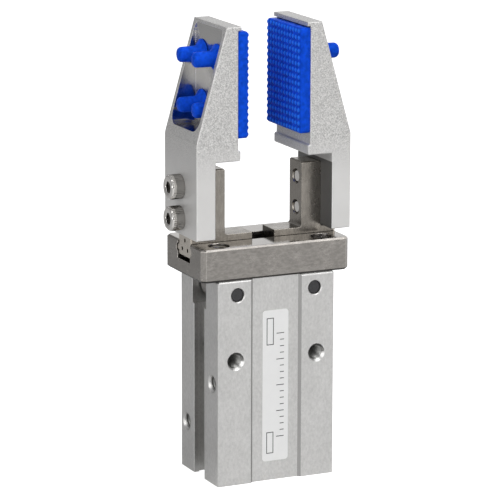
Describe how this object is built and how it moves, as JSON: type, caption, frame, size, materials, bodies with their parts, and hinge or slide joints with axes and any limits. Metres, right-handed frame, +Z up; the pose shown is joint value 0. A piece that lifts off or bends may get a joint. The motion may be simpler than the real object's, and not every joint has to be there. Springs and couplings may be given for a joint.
{
  "type": "pneumatic parallel gripper",
  "caption": "Small air-driven parallel gripper: aluminium cylinder body, steel ball-guided fingers and angled aluminium jaws with blue silicone pads.",
  "frame": {"origin": "centre of the housing's flat base", "axes": "+Z up from the base to the jaw tips, +X along the finger travel towards the right jaw, -Y towards the face with the label"},
  "size_m": [0.0352, 0.0164, 0.083],
  "materials": {
    "housing_aluminium": "satin anodised, fine grain",
    "guide_steel": "ground stainless steel, warm grey",
    "finger_steel": "ground stainless steel, warm grey",
    "screw_steel": "plain stainless steel",
    "shaft_steel": "hardened steel, dark",
    "lever_steel": "hardened steel",
    "ball_steel": "polished bearing steel",
    "spring_steel": "phosphated spring steel",
    "jaw_aluminium": "machined and bead blasted, clear anodised",
    "pad_silicone": "moulded silicone, blue",
    "seal_rubber": "nitrile rubber, black",
    "bumper_urethane": "urethane, amber",
    "cap_aluminium": "turned, clear anodised",
    "piston_aluminium": "turned",
    "magnet_ferrite": "sintered magnet, dark grey",
    "wear_ring_plastic": "low friction plastic, ivory",
    "label_film": "satin white film"
  },
  "bodies": {
    "body": {"housing": "housing_aluminium", "guide_block": "guide_steel", "guide_screws": "screw_steel", "lever_shaft_left": "shaft_steel", "lever_shaft_right": "shaft_steel", "cylinder_cap": "cap_aluminium", "cap_o_ring": "seal_rubber", "cap_bumper": "bumper_urethane", "retaining_ring": "spring_steel", "rod_seal": "seal_rubber", "seal_retainer": "cap_aluminium", "label_plate": "label_film"},
    "left_finger": {"finger_left": "finger_steel", "jaw_left": "jaw_aluminium", "pad_left": "pad_silicone", "jaw_screws_left": "screw_steel"},
    "right_finger": {"finger_right": "finger_steel", "jaw_right": "jaw_aluminium", "pad_right": "pad_silicone", "jaw_screws_right": "screw_steel"},
    "piston_unit": {"piston": "piston_aluminium", "piston_seal": "seal_rubber", "piston_magnet": "magnet_ferrite", "wear_ring": "wear_ring_plastic", "piston_bumper": "bumper_urethane", "piston_rod": "lever_steel", "rod_joint": "lever_steel"},
    "left_lever": {"lever_left": "lever_steel"},
    "right_lever": {"lever_right": "lever_steel"},
    "left_balls": {"guide_balls_left": "ball_steel"},
    "right_balls": {"guide_balls_right": "ball_steel"}
  },
  "joints": [
    {"name": "left_finger_slide", "type": "slide", "parent": "body", "child": "left_finger", "axis": [1, 0, 0], "range_m": [0, 0.002]},
    {"name": "right_finger_slide", "type": "slide", "parent": "body", "child": "right_finger", "axis": [-1, 0, 0], "range_m": [0, 0.002]},
    {"name": "piston_slide", "type": "slide", "parent": "body", "child": "piston_unit", "axis": [0, 0, -1], "range_m": [0, 0.00145]},
    {"name": "left_lever_turn", "type": "hinge", "parent": "body", "child": "left_lever", "pos_m": [-0.0076, 0, 0.0351], "axis": [0, 1, 0], "range_deg": [0, 16.67]},
    {"name": "right_lever_turn", "type": "hinge", "parent": "body", "child": "right_lever", "pos_m": [0.0076, 0, 0.0351], "axis": [0, -1, 0], "range_deg": [0, 16.67]},
    {"name": "left_ball_roll", "type": "slide", "parent": "body", "child": "left_balls", "axis": [1, 0, 0], "range_m": [0, 0.001]},
    {"name": "right_ball_roll", "type": "slide", "parent": "body", "child": "right_balls", "axis": [-1, 0, 0], "range_m": [0, 0.001]}
  ],
  "couplings": [
    {"joint": "right_finger_slide", "follows": "left_finger_slide", "ratio": 1},
    {"joint": "piston_slide", "follows": "left_finger_slide", "ratio": 0.72464},
    {"joint": "left_lever_turn", "follows": "left_finger_slide", "rad_per_m": 145.44},
    {"joint": "right_lever_turn", "follows": "left_finger_slide", "rad_per_m": 145.44},
    {"joint": "left_ball_roll", "follows": "left_finger_slide", "ratio": 0.5},
    {"joint": "right_ball_roll", "follows": "left_finger_slide", "ratio": 0.5}
  ]
}
